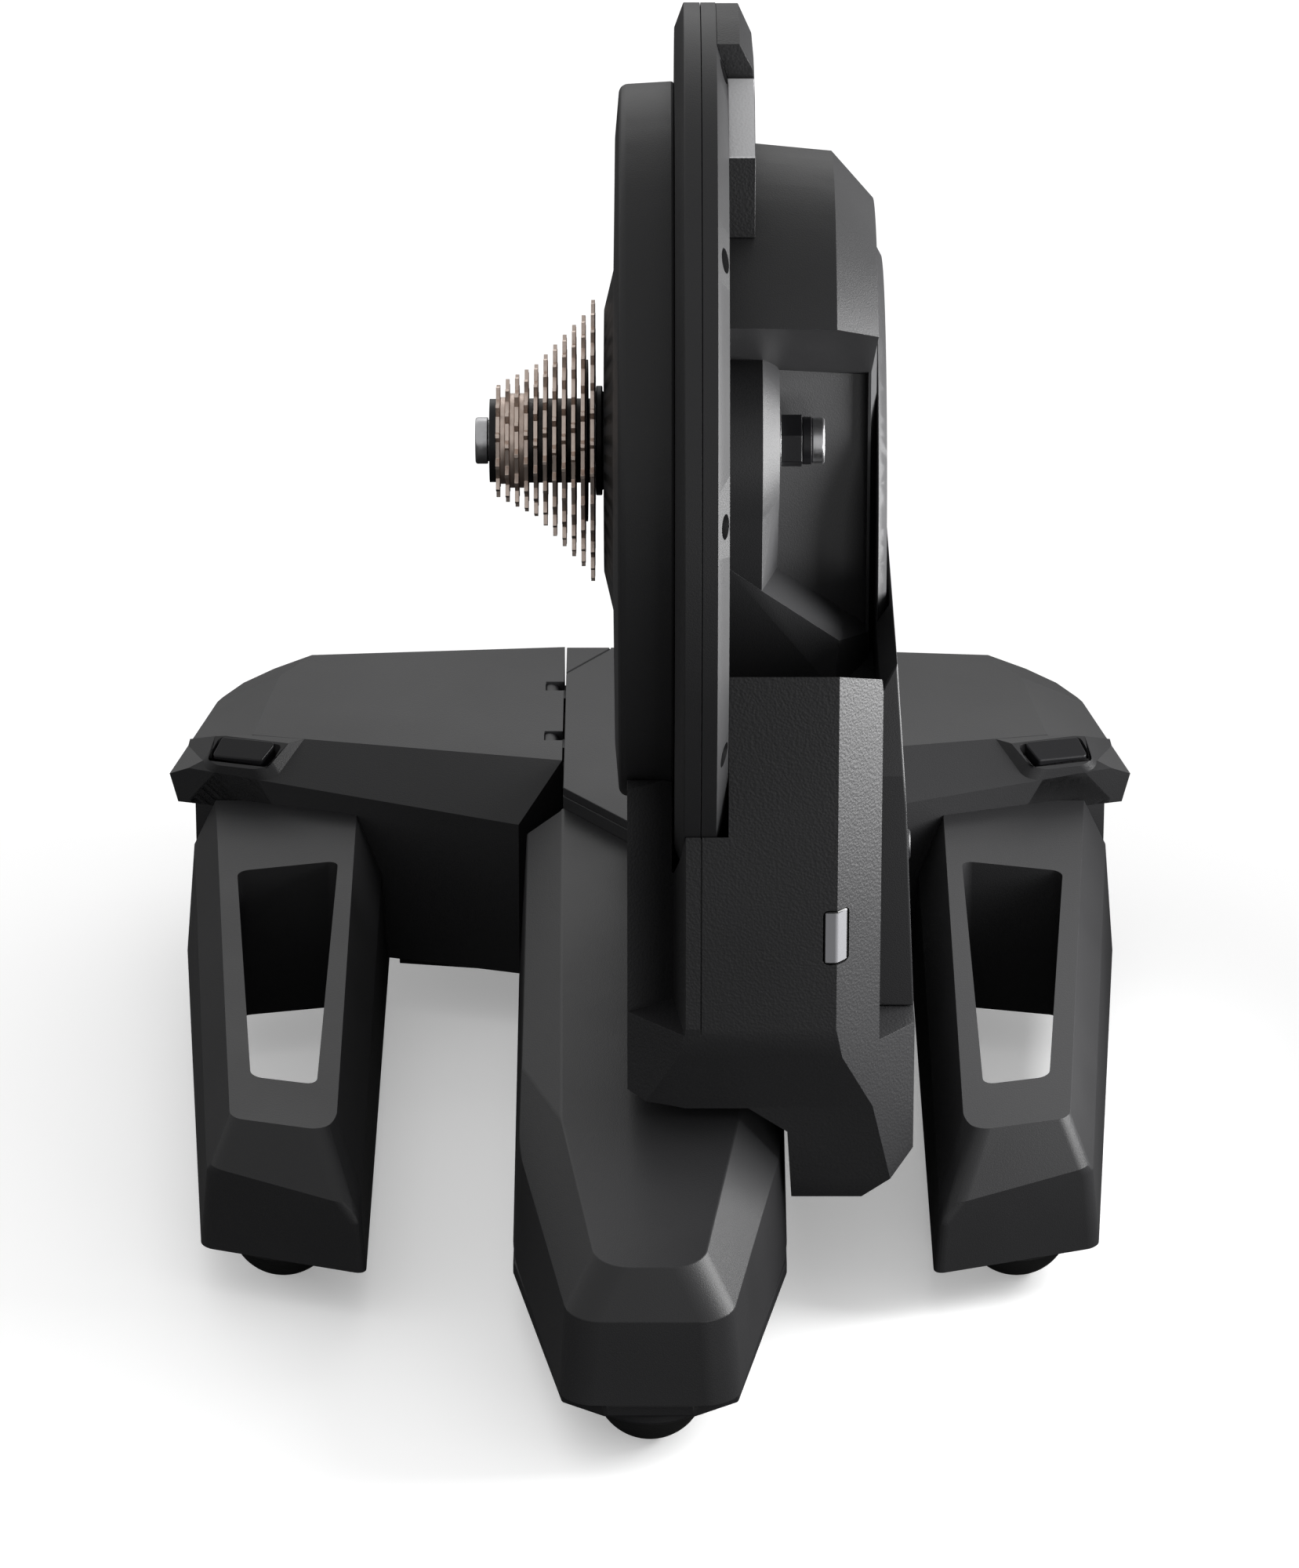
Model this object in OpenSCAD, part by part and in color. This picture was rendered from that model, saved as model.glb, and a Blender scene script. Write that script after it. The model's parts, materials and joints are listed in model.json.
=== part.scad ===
// Direct drive bike trainer with folding wings
// Origin at the centre of the thru axle, X to the right along the axle, Y to the back, Z up

/* [Axle] */
// Height of the axle above the floor
axle_h = 345; // [340:1:350]
// Radius of the thru axle bore
axle_bore_r = 6.1; // [5.1:0.1:6.2]
// Outer radius of the axle tube
axle_tube_r = 8.5; // [8.3:0.1:8.5]
// Radius of the silver axle ends
axle_end_r = 9.5; // [9.2:0.1:9.8]

/* [Drive unit] */
// Radius of the ring flange
flange_r = 178; // [176:1:180]
// Radius of the right drum
drum_r = 121; // [119:1:122]
// Radius of the rotor
rotor_r = 138; // [134:1:139]
// Number of magnets on the rotor
magnet_count = 24; // [16:4:28]
// Number of wound stator teeth
tooth_count = 18; // [12:2:18]
// Number of flange screws
screw_count = 10; // [10:1:10]
// Wall of the shells
wall = 3; // [2.5:0.1:3.2]

/* [Cassette] */
// Distance from one cog to the next
cog_pitch = 3.87; // [3.8:0.01:3.9]
// Thickness of one cog
cog_t = 1.6; // [1.5:0.1:1.7]

/* [Base] */
// Height of the hub and wing tops above the floor
deck_h = 118; // [116:1:119]
// Radius of the hinge pins
hinge_pin_r = 2.5; // [2.2:0.1:2.8]
// Radius of the rubber domes
dome_r = 22.2; // [21:0.1:23]

/* [Hidden] */
fine = 96;
slip = 0.3;
run_gap = 0.05;
cover_gap = 0.5;
flange_split = 20.3;
flange_left = 9.8;
flange_right = 31;
inner_wall_x = 27.4;
ring_bore_r = rotor_r + 3;
neck_end = 52.6;
screw_ring_r = flange_r - 10;
screw_head_r = 4;
screw_r = 2.2;
screw_seat_x = 23.4;
rotor_x0 = -9;
rotor_x1 = 24;
rotor_rim_r = rotor_r - 8;
magnet_t = 3.5;
stator_r = rotor_rim_r - magnet_t - 1;
stator_x0 = 1;
stator_x1 = 18;
hub_tube_r = 20;
bearing_r = 14;
freehub_r = 15.4;
cog_bore_r = 15.45;
cog_x0 = -62.7;
carrier_x = cog_x0 + cog_pitch * 9 + cog_t + 0.05;
cog_teeth = [11, 12, 13, 14, 15, 17, 19, 21, 23, 25, 28];
cap_x = 71.2;
hinge_left_x = -45;
hinge_right_x = 104;
hinge_zf = deck_h - 6;
hinge_barrel_r = 6;
bracket_y = [232, 290];
bracket_w = 10;
button_x = -182;
button_y = 222.5;
button_plan = [[-8.9, 7.2], [15.4, 0.4], [8.9, -8], [-13.2, -1.8]];
button_seat_plan = [[-10.1, 8.8], [18.2, -0.3], [12.5, -10.8], [-15.6, -2.4]];
button_base_h = deck_h - 14.2;
button_travel = 4;
lip_h = deck_h - 20;
rim_h = deck_h - 13;
latch_zf = 62;
latch_y = 226;
latch_r = 3;
foot_side_x = -152.6;
foot_side_y = -65;
foot_centre_y = -211;
dome_top = 15;
stem_r = 5;
side_r = 103.8;
side_y = 108;
side_z = -60;

// Solid of revolution about the axle from [radius, x] points
module spin_x(points, n = fine) {
    rotate([0, 90, 0])
        rotate_extrude($fn = n)
            polygon(points);
}

// Disc or tube about the axle
module ring_x(x0, x1, r_out, r_in = 0, n = fine) {
    spin_x([[r_in, x0], [r_out, x0], [r_out, x1], [r_in, x1]], n);
}

// Cylinder along X at a given y and z
module rod_x(x0, x1, r, y, z, n = 32) {
    translate([x0, y, z])
        rotate([0, 90, 0])
            cylinder(r = r, h = x1 - x0, $fn = n);
}

// Cylinder along Y at a given x and z
module rod_y(y0, y1, r, x, z, n = 48) {
    translate([x, y1, z])
        rotate([90, 0, 0])
            cylinder(r = r, h = y1 - y0, $fn = n);
}

// Slab along X with a side outline of [y, z] points
module side_slab(x0, x1, points) {
    translate([x0, 0, 0])
        rotate([90, 0, 90])
            linear_extrude(x1 - x0)
                polygon(points);
}

// Slab along Y with a front outline of [x, z] points
module front_slab(y0, y1, points) {
    translate([0, y1, 0])
        rotate([90, 0, 0])
            linear_extrude(y1 - y0)
                polygon(points);
}

// Slab along Z with a plan outline of [x, y] points
module plan_slab(z0, z1, points) {
    translate([0, 0, z0])
        linear_extrude(z1 - z0)
            polygon(points);
}

// Smallest convex solid round a list of points
module convex(points) {
    hull()
        polyhedron(points = points, faces = [[for (i = [0 : len(points) - 1]) i]]);
}

// Everything beyond the plane through three points, counter-clockwise from outside, moved out by g
module beyond(t, g) {
    n = unit(cross(t[1] - t[0], t[2] - t[0]));
    translate(t[0] + n * g)
        rotate([0, acos(n[2]), atan2(n[1], n[0])])
            translate([-500, -500, 0])
                cube([1000, 1000, 400]);
}

// Box between two corners
module block(lo, hi) {
    translate(lo)
        cube(hi - lo);
}

// Puts a piece drawn with heights above the floor into the axle frame
module on_floor() {
    translate([0, 0, -axle_h])
        children();
}

// Draws a left piece on the chosen side
module on_side(side) {
    mirror([side > 0 ? 1 : 0, 0, 0])
        children();
}

function unit(v) = v / norm(v);

// Points of one rounded corner at b between a and c
function corner_arc(a, b, c, r, n) =
    let (u = unit(a - b), w = unit(c - b), half = acos(u * w) / 2, m = b + unit(u + w) * r / sin(half),
        p = b + u * r / tan(half) - m, q = b + w * r / tan(half) - m, s = atan2(p[1], p[0]),
        t = atan2(q[1], q[0]) - s, turn = t > 180 ? t - 360 : t < -180 ? t + 360 : t)
    [for (i = [0 : n]) m + r * [cos(s + turn * i / n), sin(s + turn * i / n)]];

// A plan outline with all of its corners rounded
function rounded(points, r, n = 6) =
    let (k = len(points))
    [for (i = [0 : k - 1]) each corner_arc(points[(i + k - 1) % k], points[i], points[(i + 1) % k], r, n)];

// Points on a circle of the side outline
function arc_points(r, a0, a1, n) = [for (i = [0 : n]) r * [cos(a0 + (a1 - a0) * i / n), sin(a0 + (a1 - a0) * i / n)]];

// Places children at the flange screws
module at_screws() {
    for (i = [0 : screw_count - 1])
        rotate([-(9 + 36 * i), 0, 0])
            translate([0, -screw_ring_r, 0])
                children();
}

module drive_cover() {
    color("#2b2b2d")
        difference() {
            spin_x([[23, -18.7], [53.5, -18.7], [69.5, -14.9], [124, -14.2], [143, -12.6], [145, -10.6],
                [146.2, flange_left], [142.6, flange_left], [141.6, -9.6], [124, -10.9], [69.5, -11.6],
                [53.5, -15.4], [23, -15.4]], 144);
            ring_x(flange_left - 0.01, flange_left + 1, flange_r);
        }
}

module drive_shell() {
    color("#2b2b2d")
        difference() {
            spin_x([[ring_bore_r, flange_left], [168, flange_left], [flange_r, 13.5],
                [flange_r, flange_split - 0.15], [ring_bore_r, flange_split - 0.15]], 180);
            at_screws()
                rod_x(12.5, flange_split + 1, screw_r, 0, 0, 24);
        }
}

module drum_outer() {
    intersection() {
        union() {
            spin_x([[0, inner_wall_x], [drum_r, inner_wall_x], [drum_r, 42], [118, 73.8], [99, 90.7], [0, 90.7]], 144);
            side_slab(inner_wall_x, 90.7, [[-30, -40], [118, -40], [122, -104], [-14, -104], [-24, -66]]);
            plan_slab(-110, 40, [[80, 26], [89.5, 20], [93.2, 31], [93.2, 118], [80, 118]]);
        }
        front_slab(-150, 150, [[inner_wall_x - 1, -104.2], [inner_wall_x - 1, 150], [95, 150], [95, -104.2]]);
    }
}

// Neck boss round the axle with straight sides down to the pocket floor
module neck() {
    union() {
        spin_x([[0, inner_wall_x], [41, inner_wall_x], [41, 45.6], [29, neck_end], [0, neck_end]], 96);
        convex([for (x = [inner_wall_x, 45.6]) each [[x, -40.8, 0], [x, -24.3, -57], [x, 30, -57], [x, 30, 0]],
            [neck_end, -28.8, 0], [neck_end, 14, -61], [neck_end, 30, -61], [neck_end, 30, 0]]);
    }
}

// Lip under the pocket, its floor falling to the right
module pocket_lip() {
    convex([[31, -28, -44.5], [46.6, -24.3, -57], [77.6, -15.8, -81.6], [90.5, 20, -92.2], [92.5, 60, -92.7],
        [31, 60, -44.5], [31, -14, -105], [76, -14, -105], [90.5, 20, -105], [31, 60, -105], [92.5, 60, -105]]);
}

module pocket() {
    difference() {
        intersection() {
            side_slab(flange_right, 120, [[-170, 123], [-89, 80], [15, 25], [40, 11.8], [40, -104.5], [-170, -104.5]]);
            plan_slab(-110, 130, [[30, -170], [120, -170], [120, 20], [89.5, 20], [89.5, 26], [52.6, 14], [30, 7]]);
        }
        neck();
        pocket_lip();
    }
}

module main_shell() {
    color("#2b2b2d")
        difference() {
            union() {
                spin_x([[ring_bore_r, flange_split + 0.15], [flange_r, flange_split + 0.15], [flange_r, 26.4],
                    [flange_r - 16, flange_right], [0, flange_right], [0, inner_wall_x], [ring_bore_r, inner_wall_x]], 180);
                difference() {
                    drum_outer();
                    pocket();
                }
                neck();
            }
            drum_cavity();
            ring_x(0, neck_end + 1, axle_tube_r);
            at_screws() {
                rod_x(screw_seat_x, flange_right + 5, screw_head_r + 1, 0, 0, 32);
                rod_x(flange_split - 1, flange_right, screw_r + 0.2, 0, 0, 24);
            }
        }
}

// Hollow of the drum behind the pocket
module drum_cavity() {
    intersection() {
        side_slab(flange_right + wall, 91, concat(arc_points(drum_r - 8, 125, -15, 30), [[110, -99], [32, -99], [32, 30], [-50, 64]]));
        spin_x([[0, 30], [drum_r - 4, 30], [113, 71], [95, 87], [95, 92], [0, 92]], 96);
    }
}

module side_cover() {
    color("#29292b")
        translate([0, side_y, side_z])
            spin_x([[0, 93.3], [103.2, 93.3], [side_r, 94], [97, 97.6], [85, 97.8], [82, 96.8], [0, 96.8]], 144);
}

// Crescent shaped housing that carries the side cover behind the drum
module rear_housing() {
    color("#262628")
        difference() {
            translate([0, side_y, side_z])
                difference() {
                    ring_x(36, 93.2, 97, 0, 144);
                    ring_x(39, 90, 94, 0, 144);
                }
            ring_x(0, 95, drum_r + slip, 0, 144);
            side_slab(0, 95, [[-40, 50], [118 + slip, 50], [118 + slip, -40], [122 + slip, -104.5], [124.4, -104.5],
                [136, -230], [-40, -230]]);
        }
}

// Outer form of the lower housing, heights above the floor
module housing_form() {
    intersection() {
        side_slab(-10, 110, [[-133, axle_h - 50], [-133, 141.8], [-130, 128], [-115, 99], [-106, 62], [-100, 51], [-80, 43],
            [135, 43], [135, 118], [124, axle_h - 104.4], [-14, axle_h - 104.4]]);
        front_slab(-140, 140, [[-9.2, axle_h - 105], [-9.2, 104], [14.4, 98], [40, 98], [56, 86], [58.6, 42], [77.5, 42],
            [108, 71], [108, 127.6], [93, 127.6], [93, axle_h - 65], [90.7, axle_h - 48], [-9.2, axle_h - 48]]);
        plan_slab(30, 300, [[-9.2, -109], [14.4, -133], [75, -133], [108, -95], [108, 136], [-9.2, 136]]);
    }
}

// Recess left of the housing's rim, seen from above
module side_recess() {
    on_floor()
        plan_slab(138.5, 300, [[-12, -150], [14.2, -150], [14.2, -133], [9.6, -96], [-9.2, -108.5], [-12, -110]]);
}

module housing_outer() {
    on_floor()
        difference() {
            housing_form();
            block([-10, -140, axle_h - 109], [flange_right + 0.2, 140, axle_h - 45]);
        }
}

module lens_zone(g) {
    on_floor()
        front_slab(-140, -118.2 + g, rounded([[69.6 - g, 170.3 - g], [79.6 + g, 170.3 - g], [79.6 + g, 193.7 + g],
            [69.6 - g, 193.7 + g]], 2 + g, 4));
}

// Top of the centre leg that the housing stands on
module leg_clear() {
    on_floor()
        leg_form(0.3);
}

module lower_housing() {
    color("#2b2b2d")
        difference() {
            housing_outer();
            ring_x(-30, flange_left, 146.2 + cover_gap, 0, 144);
            ring_x(flange_left - 1, flange_right + 0.3, flange_r + cover_gap, 0, 180);
            leg_clear();
            lens_zone(slip);
            side_recess();
            // Parting line beside the rim
            on_floor()
                block([20.2, -140, 90], [20.8, -132.2, 240]);
            translate([0, side_y, side_z])
                ring_x(93.2, 120, side_r + cover_gap, 0, 144);
            on_floor() {
                block([36, -118, 122], [86, 118, axle_h - 111]);
                block([80, 126, 140], [100, 137, 141]);
            }
            rod_x(88, 95, 6.6, -60, 191.5 - axle_h);
            on_floor()
                block([50, 117, 150], [78, 140, 172]);
        }
}

module service_panel() {
    color("#303032")
        on_floor()
            difference() {
                intersection() {
                    front_slab(-80, 110, [[93.1, 128], [108, 128], [104, axle_h - 129], [100, axle_h - 71], [93.1, axle_h - 83]]);
                    side_slab(90, 110, [[-80, 128], [110, 128], [100, axle_h - 83], [88, axle_h - 71], [-66, axle_h - 71], [-80, axle_h - 115]]);
                }
                translate([0, side_y, axle_h + side_z])
                    ring_x(88, 98.6, side_r + cover_gap, 0, 144);
                rod_x(90, 110, 6.6, -60, 191.5);
            }
}

module side_plug() {
    color("#1c1c1e")
        on_floor()
            translate([0, -60, 191.5])
                rotate([0, 90, 0])
                    rotate_extrude($fn = 48)
                        polygon([[0, 93.2], [6.3, 93.2], [6.3, 105.6], [5.4, 106.4], [0, 106.4]]);
}

module status_lens() {
    color("#6e6e72")
        intersection() {
            housing_outer();
            lens_zone(0);
        }
}

module light_board() {
    color("#1f3a2c")
        on_floor()
            block([68, -117.9, 168], [82, -116.3, 196]);
}

module power_inlet() {
    color("#161618")
        on_floor()
            difference() {
                block([50.3, 118.2, 150.3], [77.7, 131, 171.7]);
                block([54, 121.5, 153], [74, 132, 169]);
            }
}

// Side outline of the grab handle block, as deep as the ring at its back
function handle_side() = concat([[-23, 176.4], [-21, 162.3], [-61.5, 142.3], [-57.5, 107.2]],
    arc_points(drum_r + 0.4, 118, 46, 12), [[112, 116], [122, 127]], arc_points(flange_r - 0.2, 46, 97, 12));

module grab_handle() {
    color("#2e2e30")
        difference() {
            intersection() {
                side_slab(20, 41.6, handle_side());
                union() {
                    spin_x([[100, flange_right + 0.05], [flange_r - 15.8, flange_right + 0.05], [flange_r - 0.3, 26.5],
                        [flange_r - 0.3, 35.6], [flange_r - 12, 41], [flange_r - 18, 41.6], [100, 41.6]], 180);
                }
            }
            spin_x([[100, 20], [flange_r + 1, 20], [flange_r + 1, 26.12], [flange_r - 16, flange_right + 0.05], [100, flange_right + 0.05]], 180);
            at_screws()
                rod_x(20, 60, screw_head_r + 1.5, 0, 0, 32);
            // Finger recess at the back
            side_slab(34, 50, concat(arc_points(flange_r - 28, 52, 84, 10), arc_points(flange_r - 48, 84, 52, 10)));
        }
}

module axle_tube() {
    color("#77787a")
        ring_x(-66, 66.1, axle_tube_r - 0.02, axle_bore_r, 72);
}

module axle_end_left() {
    color("#9a9b9d")
        difference() {
            spin_x([[0, -cap_x], [8.9, -cap_x], [axle_end_r, -cap_x + 0.6], [axle_end_r, -66.05], [0, -66.05]], 64);
            ring_x(-80, -60, axle_bore_r, 0, 64);
        }
}

module axle_end_right() {
    color("#9a9b9d")
        difference() {
            spin_x([[0, 66.15], [axle_end_r, 66.15], [axle_end_r, cap_x - 0.6], [8.9, cap_x], [0, cap_x]], 64);
            ring_x(60, 80, axle_bore_r, 0, 64);
        }
}

module axle_flange_ring() {
    color("#8a8b8d")
        ring_x(neck_end + 0.1, 53.3, 12.8, axle_tube_r, 64);
}

module axle_sleeve() {
    color("#1a1a1c")
        difference() {
            rod_x(53.35, 62, 11.35, 0, 0, 6);
            ring_x(50, 66, axle_tube_r, 0, 64);
        }
}

module seal_ring() {
    color("#242426")
        ring_x(62.05, 66, 9.75, axle_tube_r, 64);
}

module rotor_bearings() {
    color("#8f9092")
        for (x = [-16, 12])
            ring_x(x, x + 7, bearing_r, axle_tube_r + 0.01, 64);
}

module freehub_bearings() {
    color("#8f9092")
        for (x = [-52, -34])
            ring_x(x, x + 6, 12.4, axle_tube_r + 0.01, 64);
}

module hub_flange() {
    color("#1d1d1f")
        difference() {
            union() {
                ring_x(-22, -19.4, 22.35, 12.6);
                ring_x(-19.4, -5, hub_tube_r, 12.6);
                ring_x(-5, 20, 17, 12.6);
            }
            for (x = [-16, 12])
                ring_x(x - 0.05, x + 7.05, bearing_r + run_gap);
        }
}

module rotor_drum() {
    color("#505154")
        difference() {
            union() {
                ring_x(rotor_x0, -5.2, rotor_r, hub_tube_r + 0.02, 144);
                ring_x(rotor_x0, rotor_x1, rotor_r, rotor_rim_r, 144);
            }
            for (i = [0 : 5])
                rotate([60 * i, 0, 0])
                    rod_x(rotor_x0 - 1, 0, 16, 0, 72, 48);
        }
}

module rotor_magnets() {
    color("#3c3d42")
        for (i = [0 : magnet_count - 1])
            rotate([360 / magnet_count * i, 0, 0])
                intersection() {
                    ring_x(0, 20, rotor_rim_r - 0.02, rotor_rim_r - magnet_t, 144);
                    block([-1, -11, 100], [22, 11, 140]);
                }
}

function polar(r, a) = r * [cos(a), sin(a)];

// Outline of one stator tooth and its shoe at angle a
function stator_tooth(a) =
    let (root = asin(5 / 92), neck = asin(5 / (stator_r - 5)), shoe = 7.8)
    [polar(92, a - root), polar(stator_r - 5, a - neck), polar(stator_r - 5, a - shoe), polar(stator_r, a - shoe),
        polar(stator_r, a - shoe / 2), polar(stator_r, a), polar(stator_r, a + shoe / 2), polar(stator_r, a + shoe),
        polar(stator_r - 5, a + shoe), polar(stator_r - 5, a + neck), polar(92, a + root)];

module stator_core() {
    color("#5b5c60")
        translate([stator_x0, 0, 0])
            rotate([0, 90, 0])
                linear_extrude(stator_x1 - stator_x0)
                    difference() {
                        polygon([for (i = [0 : tooth_count - 1]) each stator_tooth(360 / tooth_count * i)]);
                        circle(r = 80, $fn = 96);
                    }
}

module stator_coils() {
    color("#8a5a34")
        for (i = [0 : tooth_count - 1])
            rotate([360 / tooth_count * i, 0, 0])
                difference() {
                    block([stator_x0 - 3, -9.5, 97], [stator_x1 + 3, 9.5, stator_r - 7]);
                    block([stator_x0 - 0.02, -5.02, 90], [stator_x1 + 0.02, 5.02, 130]);
                }
}

module stator_mount() {
    color("#86878a")
        difference() {
            union() {
                ring_x(18.1, inner_wall_x - 0.05, 90, 78, 96);
                ring_x(23, inner_wall_x - 0.05, 80, 22, 96);
                ring_x(21, inner_wall_x - 0.05, 26, 19, 96);
            }
            for (i = [0 : 5])
                rotate([60 * i + 30, 0, 0])
                    rod_x(20, 30, 12, 0, 52);
        }
}

module circuit_board() {
    color("#1f4a33")
        union() {
            block([40, 50, -62], [41.6, 92, 40]);
            block([41.5, 60, -50], [50, 80, -30]);
            block([41.5, 60, -10], [46, 86, 16]);
            for (z = [-52, 30])
                rod_x(flange_right + wall + 0.02, 40.5, 3, 80, z);
        }
}

module shell_screws() {
    color("#3a3a3c")
        at_screws()
            difference() {
                union() {
                    rod_x(13.5, screw_seat_x + 0.02, screw_r - 0.02, 0, 0, 24);
                    rod_x(screw_seat_x + 0.02, screw_seat_x + 3, screw_head_r, 0, 0, 32);
                }
                rod_x(screw_seat_x + 1, screw_seat_x + 4, 2, 0, 0, 6);
            }
}

module freehub_body() {
    color("#3b3c3f")
        difference() {
            ring_x(-62.7, -22.3, freehub_r, 12.4 + run_gap, 96);
            ring_x(-65, -61, 12.75, 0, 64);
        }
}

// One cog with its teeth
module cog(teeth) {
    r_out = 12.7 / (2 * sin(180 / teeth)) + 0.6;
    root = r_out - 4.4;
    step = 360 / teeth;
    difference() {
        linear_extrude(cog_t)
            polygon([for (i = [0 : teeth - 1]) each [
                root * [cos(step * (i - 0.32)), sin(step * (i - 0.32))],
                root * [cos(step * (i + 0.32)), sin(step * (i + 0.32))],
                r_out * [cos(step * (i + 0.44)), sin(step * (i + 0.44))],
                r_out * [cos(step * (i + 0.56)), sin(step * (i + 0.56))]]]);
        translate([0, 0, -1])
            cylinder(r = cog_bore_r, h = cog_t + 2, $fn = 96);
    }
}

module cassette_cogs() {
    color("#8d8078")
        for (i = [0 : len(cog_teeth) - 1])
            translate([cog_x0 + cog_pitch * i, 0, 0])
                rotate([0, 90, 0])
                    cog(cog_teeth[i]);
}

module cassette_spacers() {
    color("#161617")
        for (i = [0 : len(cog_teeth) - 2])
            ring_x(i < 9 ? cog_x0 + cog_pitch * i + cog_t + 0.02 : carrier_x + 1.02,
                cog_x0 + cog_pitch * (i + 1) - 0.02, i < 1 ? 17.7 : i < 3 ? 19.3 : 17.2, cog_bore_r, 72);
}

module cog_carrier() {
    color("#1b1b1c")
        difference() {
            ring_x(carrier_x, carrier_x + 1, 33, cog_bore_r);
            for (i = [0 : 4])
                rotate([72 * i, 0, 0])
                    rod_x(carrier_x - 1, carrier_x + 2, 4.5, 0, 26);
        }
}

module lockring() {
    color("#1a1a1b")
        difference() {
            union() {
                ring_x(-65.4, -62.75, 17, axle_tube_r + 0.4, 72);
                ring_x(-62.8, -61.1, 12.7, axle_tube_r + 0.4, 72);
            }
            for (i = [0 : 11])
                rotate([30 * i, 0, 0])
                    block([-66, -1.2, 10.6], [-64.4, 1.2, 12.6]);
        }
}

// Centre leg outer form, heights above the floor, grown by g
module leg_form(g) {
    difference() {
        block([-70, -260, 0], [70, 171.8, 140]);
        beyond([[0, -222, 81], [10, 5, 103.5], [0, 5, 103.5]], g);
        beyond([[0, 5, 103.5], [10, 124, 108], [0, 124, 108]], g);
        beyond([[0, 124, 108], [10, 205, 108.6], [0, 205, 108.6]], g);
        beyond([[-10, -225, 80.7], [0, -237.5, 63], [10, -225, 80.7]], g);
        beyond([[-10, -237.5, 63], [0, -238.6, 26], [10, -237.5, 63]], g);
        for (k = [0, 1])
            mirror([k, 0, 0]) {
                beyond([[35.8, -114, 92], [53.4, 5, 92.5], [37.3, 5, 103.5]], g);
                beyond([[37.3, 5, 103.5], [53.9, 124, 96.5], [38.2, 124, 108]], g);
                beyond([[38.2, 124, 108], [54, 205, 97], [38.5, 205, 108.6]], g);
                beyond([[22.3, -216, 81.5], [35.6, -215, 64.5], [35.8, -114, 92]], g);
                beyond([[15, -225, 80.7], [31.4, -230.5, 63.5], [22.3, -216, 81.5]], g);
                beyond([[53.4, 5, 92.5], [53.5, -113, 79], [57.4, -60, 26]], g);
                beyond([[53.9, 124, 96.5], [53.4, 5, 92.5], [57.5, 60, 26]], g);
                beyond([[36.7, -224, 26], [57.4, -98, 26], [35.6, -215, 64.5]], g);
                beyond([[25, -238, 26], [35.4, -228, 26], [30, -232, 63]], g);
            }
    }
}

module leg_room() {
    leg_form(-3.4);
}

// Everything the hub takes up, plus all behind the leg's back end
module hub_zone_cut() {
    plan_slab(0, 300, [[-38.5, 210], [-38.5, 171.8], [-10.2, 134.7], [150, 134.7], [150, 400], [-150, 400], [-150, 170],
        [-38.5, 170]]);
}

module centre_leg_cover() {
    color("#29292b")
        on_floor()
            difference() {
                leg_form(0);
                leg_room();
                block([-100, -300, 0], [100, 300, 26.2]);
                hub_zone_cut();
            }
}

module centre_leg_frame() {
    color("#3a3b3d")
        on_floor()
            difference() {
                union() {
                    block([-26, -170, 26.2], [-21, 134, 66]);
                    block([21, -170, 26.2], [26, 134, 66]);
                    block([-26, -222, 26.2], [26, 134, 30]);
                    for (y = [-170, -80, 30, 130])
                        block([-26, y, 26.2], [26, y + 4, 66]);
                }
                translate([0, foot_centre_y, 0])
                    cylinder(r = 9, h = 60, $fn = 48);
            }
}

// Plan outline of the centre leg bottom
function leg_plan(g) = [[-57.5 + g, 169.5], [-57.5 + g, -110], [-36.5 + g, -225 + g], [-19.3 + g, -237.5 + g],
    [19.3 - g, -237.5 + g], [36.5 - g, -225 + g], [57.5 - g, -110], [57.5 - g, 134.4], [-12, 134.4], [-40, 169.5]];

module centre_leg_base() {
    color("#1e1e20")
        on_floor()
            union() {
                plan_slab(20, 26, leg_plan(1.2));
                translate([0, foot_centre_y, 15.1])
                    cylinder(r = 23, h = 7, $fn = 64);
            }
}

// Rubber dome standing on the floor
module dome() {
    intersection() {
        translate([0, 0, dome_r])
            sphere(r = dome_r, $fn = 96);
        cylinder(r = 21, h = dome_top, $fn = 64);
    }
}

module centre_foot() {
    color("#151516")
        on_floor()
            translate([0, foot_centre_y, 0])
                dome();
}

module rear_feet() {
    color("#151516")
        on_floor()
            for (p = [[-14, 306], [76, 306], [-14, 190], [76, 190]])
                translate([p[0], p[1], 0])
                    cylinder(r1 = 13, r2 = 15, h = 20, $fn = 64);
}

// Plan outline of the hub, pulled in by g
function hub_plan(g) = [[-38.2 + g, 172 + g], [-10 + g / 2, 135 + g], [97.2 - g, 135 + g], [97.2 - g, 336.6 - g],
    [-38.2 + g, 336.6 - g]];

module base_hub() {
    color("#262628")
        on_floor()
            difference() {
                union() {
                    plan_slab(24, deck_h - 4, hub_plan(0));
                    // Ledges that close the gap beside the wings' hinge bars
                    block([-41.4, 208, 72], [-38, 330, deck_h - 16]);
                    block([97, 208, 72], [100.4, 330, deck_h - 16]);
                }
                plan_slab(23, deck_h - 8, hub_plan(4));
                for (y = bracket_y)
                    block([-39, y - 5, hinge_zf - 5.1], [-28, y + 5, 120]);
                for (y = bracket_y)
                    block([86, y - 5, hinge_zf - 5.1], [99, y + 5, 120]);
                rod_x(-40, -30, latch_r + 3, latch_y, latch_zf);
                rod_x(90, 99, latch_r + 3, latch_y, latch_zf);
            }
}

module base_plate() {
    color("#1e1e20")
        on_floor()
            plan_slab(20, 23.9, hub_plan(0.6));
}

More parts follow.
